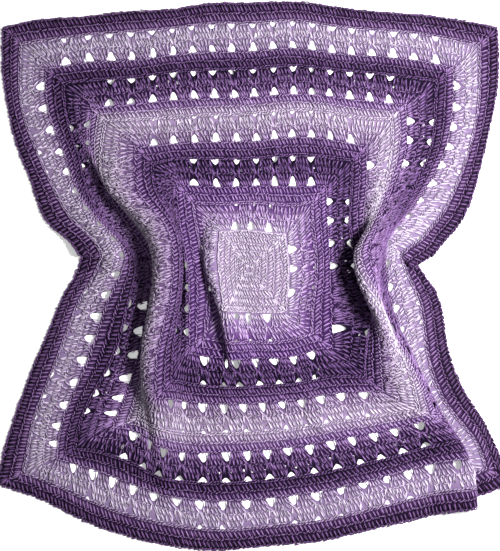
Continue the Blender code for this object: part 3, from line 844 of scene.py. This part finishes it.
def shade_of(nodes, uneven):
    """The yarn's colour at each place of the flat square. The shaded lengths don't end evenly on a round."""
    flat = nodes.new("ShaderNodeUVMap", uv_map=FLAT_MAP).outputs["UV"]
    split = nodes.new("ShaderNodeSeparateXYZ")
    nodes.put(split.inputs[0], flat)
    across = nodes.math("ABSOLUTE", nodes.math("SUBTRACT", split.outputs["X"], 0.5))
    down = nodes.math("ABSOLUTE", nodes.math("SUBTRACT", split.outputs["Y"], 0.5))
    out = nodes.math("MULTIPLY", nodes.math("MAXIMUM", across, down), 2.0)
    drift = nodes.math("SUBTRACT", nodes.noise(flat, 26.0, 3.0, 0.6), 0.5)
    out = nodes.math("ADD", out, nodes.math("MULTIPLY", drift, uneven))
    ramp = nodes.new("ShaderNodeValToRGB")
    nodes.put(ramp.inputs[0], out)
    ramp.color_ramp.interpolation = "LINEAR"
    stops = ramp.color_ramp.elements
    while len(stops) > 1:
        stops.remove(stops[-1])
    for i, (r, *rgb) in enumerate(SHADES):
        stop = stops[0] if i == 0 else stops.new(r / HALF)
        stop.position = r / HALF
        stop.color = (*(linear(c) * LIFTED for c in rgb), 1)
    return flat, ramp.outputs["Color"]


LIFTED, BRIGHTNESS = 1.25, 0.592  # the ramp's colours are lifted before the painted shade's gamma, and brought back after it


PAINTED_SHADE_TINT = 0.98, 0.915, 0.985  # painted shade: a tint multiplied in where yarn lies lower down, a fuller colour standing in for the shade among its neighbours


def paint_shade_when_deep(nodes, colour, shade_depth, most):
    """Painted shade: yarn lower down between its neighbours is given a darker and fuller colour, most of all where it
    is dark anyway.
    """
    half = nodes.math("MULTIPLY", shade_depth, most * 0.40)
    gamma = nodes.new("ShaderNodeGamma")
    nodes.put(gamma.inputs["Color"], colour)
    nodes.put(gamma.inputs["Gamma"], nodes.math("ADD", nodes.math("MULTIPLY", shade_depth, most * 0.60), 1.0))
    lightness = nodes.new("ShaderNodeRGBToBW")
    nodes.put(lightness.inputs[0], colour)
    factor = nodes.math("MULTIPLY", nodes.math("POWER", lightness.outputs[0], half), BRIGHTNESS)
    grey = nodes.new("ShaderNodeCombineColor")
    for i in range(3):
        nodes.put(grey.inputs[i], factor)
    dark = nodes.mixed("MULTIPLY", 1.0, gamma.outputs["Color"], grey.outputs[0])
    return nodes.mixed("MULTIPLY", shade_depth, dark, (*PAINTED_SHADE_TINT, 1))


def yarn_material():
    nodes = Nodes("shaded_yarn")
    flat, colour = shade_of(nodes, 0.012)
    strand = nodes.new("ShaderNodeUVMap", uv_map=STRAND_MAP).outputs["UV"]
    tone_and_shade = nodes.new("ShaderNodeAttribute", attribute_name="tone_and_shade").outputs["Fac"]
    shade_depth = nodes.new("ShaderNodeAttribute", attribute_name="shade_depth").outputs["Fac"]
    # Fine fibres run along the yarn, and lie lighter or darker
    fibre = nodes.noise(nodes.scaled(strand, (0.9, 26.0, 1.0)), 1.0, 3.0, 0.6)
    melange = nodes.noise(flat, 240.0, 2.0, 0.5)
    light = nodes.math("MULTIPLY", tone_and_shade, nodes.spread(fibre, 0.3, 0.7, 0.84, 1.16))
    light = nodes.math("MULTIPLY", light, nodes.spread(melange, 0.3, 0.7, 0.90, 1.10))
    grey = nodes.new("ShaderNodeCombineColor")
    for i in range(3):
        nodes.put(grey.inputs[i], light)
    # Painted shade: the colour is darkened where the strand lies low between its neighbours
    colour = paint_shade_when_deep(nodes, colour, shade_depth, SHADE_AT_THE_FOOT)
    nodes.put(nodes.shader.inputs["Base Color"], nodes.mixed("MULTIPLY", 1.0, colour, grey.outputs[0]))
    # Plies: grooves that wind round the yarn
    split = nodes.new("ShaderNodeSeparateXYZ")
    nodes.put(split.inputs[0], strand)
    wind = nodes.math("ADD", nodes.math("MULTIPLY", split.outputs["Y"], 3.0),
                      nodes.math("MULTIPLY", split.outputs["X"], 0.55))
    ply = nodes.math("ABSOLUTE", nodes.math("SINE", nodes.math("MULTIPLY", wind, np.pi)))
    height = nodes.math("ADD", nodes.math("POWER", ply, 0.6), nodes.math("MULTIPLY", fibre, 0.5))
    bump = nodes.new("ShaderNodeBump")
    bump.inputs["Strength"].default_value = 0.55
    bump.inputs["Distance"].default_value = 0.00028
    nodes.put(bump.inputs["Height"], height)
    nodes.put(nodes.shader.inputs["Normal"], bump.outputs["Normal"])
    finish_yarn(nodes.shader)
    return nodes.material


SHADE_AT_THE_FOOT = 1.35  # how much the colour's gamma rises at the foot of a strand, as painted shade
SHADE_IN_THE_GAPS = 2.6  # and as painted shade in the fabric behind the strands


def finish_yarn(shader):
    shader.inputs["Roughness"].default_value = 0.82
    shader.inputs["Specular IOR Level"].default_value = 0.08
    shader.inputs["Sheen Weight"].default_value = 0.04
    shader.inputs["Sheen Roughness"].default_value = 0.45
    shader.inputs["Sheen Tint"].default_value = (0.82, 0.68, 0.95, 1)


def ground_material():
    nodes = Nodes("gap_yarn_painted_shade")
    flat, colour = shade_of(nodes, 0.012)
    # Painted shade: the fabric behind the strands takes the yarn's colour darkened as if it lay in shadow
    nodes.put(nodes.shader.inputs["Base Color"], paint_shade_when_deep(nodes, colour, 1.0, SHADE_IN_THE_GAPS))
    weave = nodes.noise(flat, 420.0, 3.0, 0.6)
    bump = nodes.new("ShaderNodeBump")
    bump.inputs["Strength"].default_value = 0.8
    bump.inputs["Distance"].default_value = 0.0005
    nodes.put(bump.inputs["Height"], weave)
    nodes.put(nodes.shader.inputs["Normal"], bump.outputs["Normal"])
    finish_yarn(nodes.shader)
    return nodes.material


def floor_material():
    nodes = Nodes("pale_floor")
    where = nodes.new("ShaderNodeTexCoord").outputs["Object"]
    cloud = nodes.noise(where, 3.0, 3.0, 0.5)
    value = nodes.spread(cloud, 0.3, 0.7, 0.90, 0.93)
    grey = nodes.new("ShaderNodeCombineColor")
    for i in range(3):
        nodes.put(grey.inputs[i], value)
    nodes.put(nodes.shader.inputs["Base Color"], grey.outputs[0])
    nodes.shader.inputs["Emission Color"].default_value = (1.0, 1.0, 1.0, 1)
    nodes.shader.inputs["Emission Strength"].default_value = 0.36
    nodes.shader.inputs["Roughness"].default_value = 0.7
    nodes.shader.inputs["Specular IOR Level"].default_value = 0.2
    return nodes.material


# ---------------------------------------------------------------------------------------------------------------------
# The blanket, the floor, the light and the camera
# ---------------------------------------------------------------------------------------------------------------------


def make_blanket(collection):
    yarn, gaps = yarn_material(), ground_material()
    ground = ground_mesh("blanket_fabric", collection)
    ground.data.materials.append(gaps)
    made = []

    def piece(name, fill):
        strands = Strands()
        fill(strands)
        obj = strands.mesh(name, collection)
        obj.data.materials.append(yarn)
        made.append(obj)

    def centre(strands):
        for low, high, pitch, lean, radius in CENTRE_ROUNDS:
            solid_round(strands, low, high, pitch, lean, radius)
        for side in range(4):
            loops(strands, side, spaced(-40.3, 40.3, 3.2), 40.2, 4.2, 0.80, 0.5)

    piece("centre_square", centre)
    for n in range(1, BANDS + 1):
        piece(f"shell_band_{n}", lambda strands: band(strands, n))
        low = FIRST_BAND + BAND_STEP * (n - 1) + ROUND_A + ROUND_B + CHAIN_ROUND
        high = HALF if n == BANDS else FIRST_BAND + BAND_STEP * n
        middle = (low + high) / 2
        name = "border" if n == BANDS else f"solid_rounds_{n}"

        def rounds(strands):
            solid_round(strands, low, middle)
            solid_round(strands, middle, high)
            if high == HALF:
                for side in range(4):
                    at = spaced(-high, high, 4.6)
                    loops(strands, side, at, high + 0.1, 4.4, 0.80, 0.15, slope=0.4, rings=5, around=5, stray=0.35)

        piece(name, rounds)
    for obj in [ground, *made]:
        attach(obj, "root")
    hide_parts("blanket")
    return ground, made


def make_floor(collection):
    mesh = bpy.data.meshes.new("floor")
    reach = 6.0
    mesh.from_pydata([(-reach, -reach, 0), (reach, -reach, 0), (reach, reach, 0), (-reach, reach, 0)], [], [(0, 1, 2, 3)])
    floor = bpy.data.objects.new("floor", mesh)
    collection.objects.link(floor)
    floor.data.materials.append(floor_material())
    floor.location.z = -0.0002
    return floor


def aim(obj, target):
    from mathutils import Vector

    way = Vector(target) - obj.location
    obj.rotation_euler = way.to_track_quat("-Z", "Y").to_euler()


# name, place, what it is aimed at, size across, watts, colour
LIGHTS = (
    ("key", (0.85, 0.12, 1.15), (0.0, 0.0, 0.0), 0.42, 54.0, (1.0, 0.99, 0.975)),
)
CAMERA_HEIGHT = 2.5
VIEW_HEIGHT = 0.8265  # m of the floor, from the photograph's top to its bottom


def make_light_and_camera(collection):
    for name, at, target, size, watts, colour in LIGHTS:
        data = bpy.data.lights.new(name, "AREA")
        data.shape, data.size = "DISK", size
        data.energy, data.color = watts, colour
        light = bpy.data.objects.new(name, data)
        collection.objects.link(light)
        light.location = at
        aim(light, target)
    scene = bpy.context.scene
    world = bpy.data.worlds.new("soft_light")
    world.use_nodes = True
    back = world.node_tree.nodes["Background"]
    back.inputs["Color"].default_value = (0.99, 0.99, 1.0, 1)
    back.inputs["Strength"].default_value = 0.30
    scene.world = world
    scene.view_settings.view_transform = "Standard"
    scene.view_settings.look = "None"
    data = bpy.data.cameras.new("camera")
    data.sensor_fit = "AUTO"
    data.sensor_width = 24.0
    data.lens = 24.0 * CAMERA_HEIGHT / VIEW_HEIGHT
    data.clip_end = 50.0
    camera = bpy.data.objects.new("camera", data)
    collection.objects.link(camera)
    camera.location = (-0.00525, -0.0003, CAMERA_HEIGHT)
    scene.camera = camera


def main():
    collection = bpy.context.scene.collection
    make_blanket(collection)
    make_floor(collection)
    make_light_and_camera(collection)
    bpy.context.view_layer.update()


main()
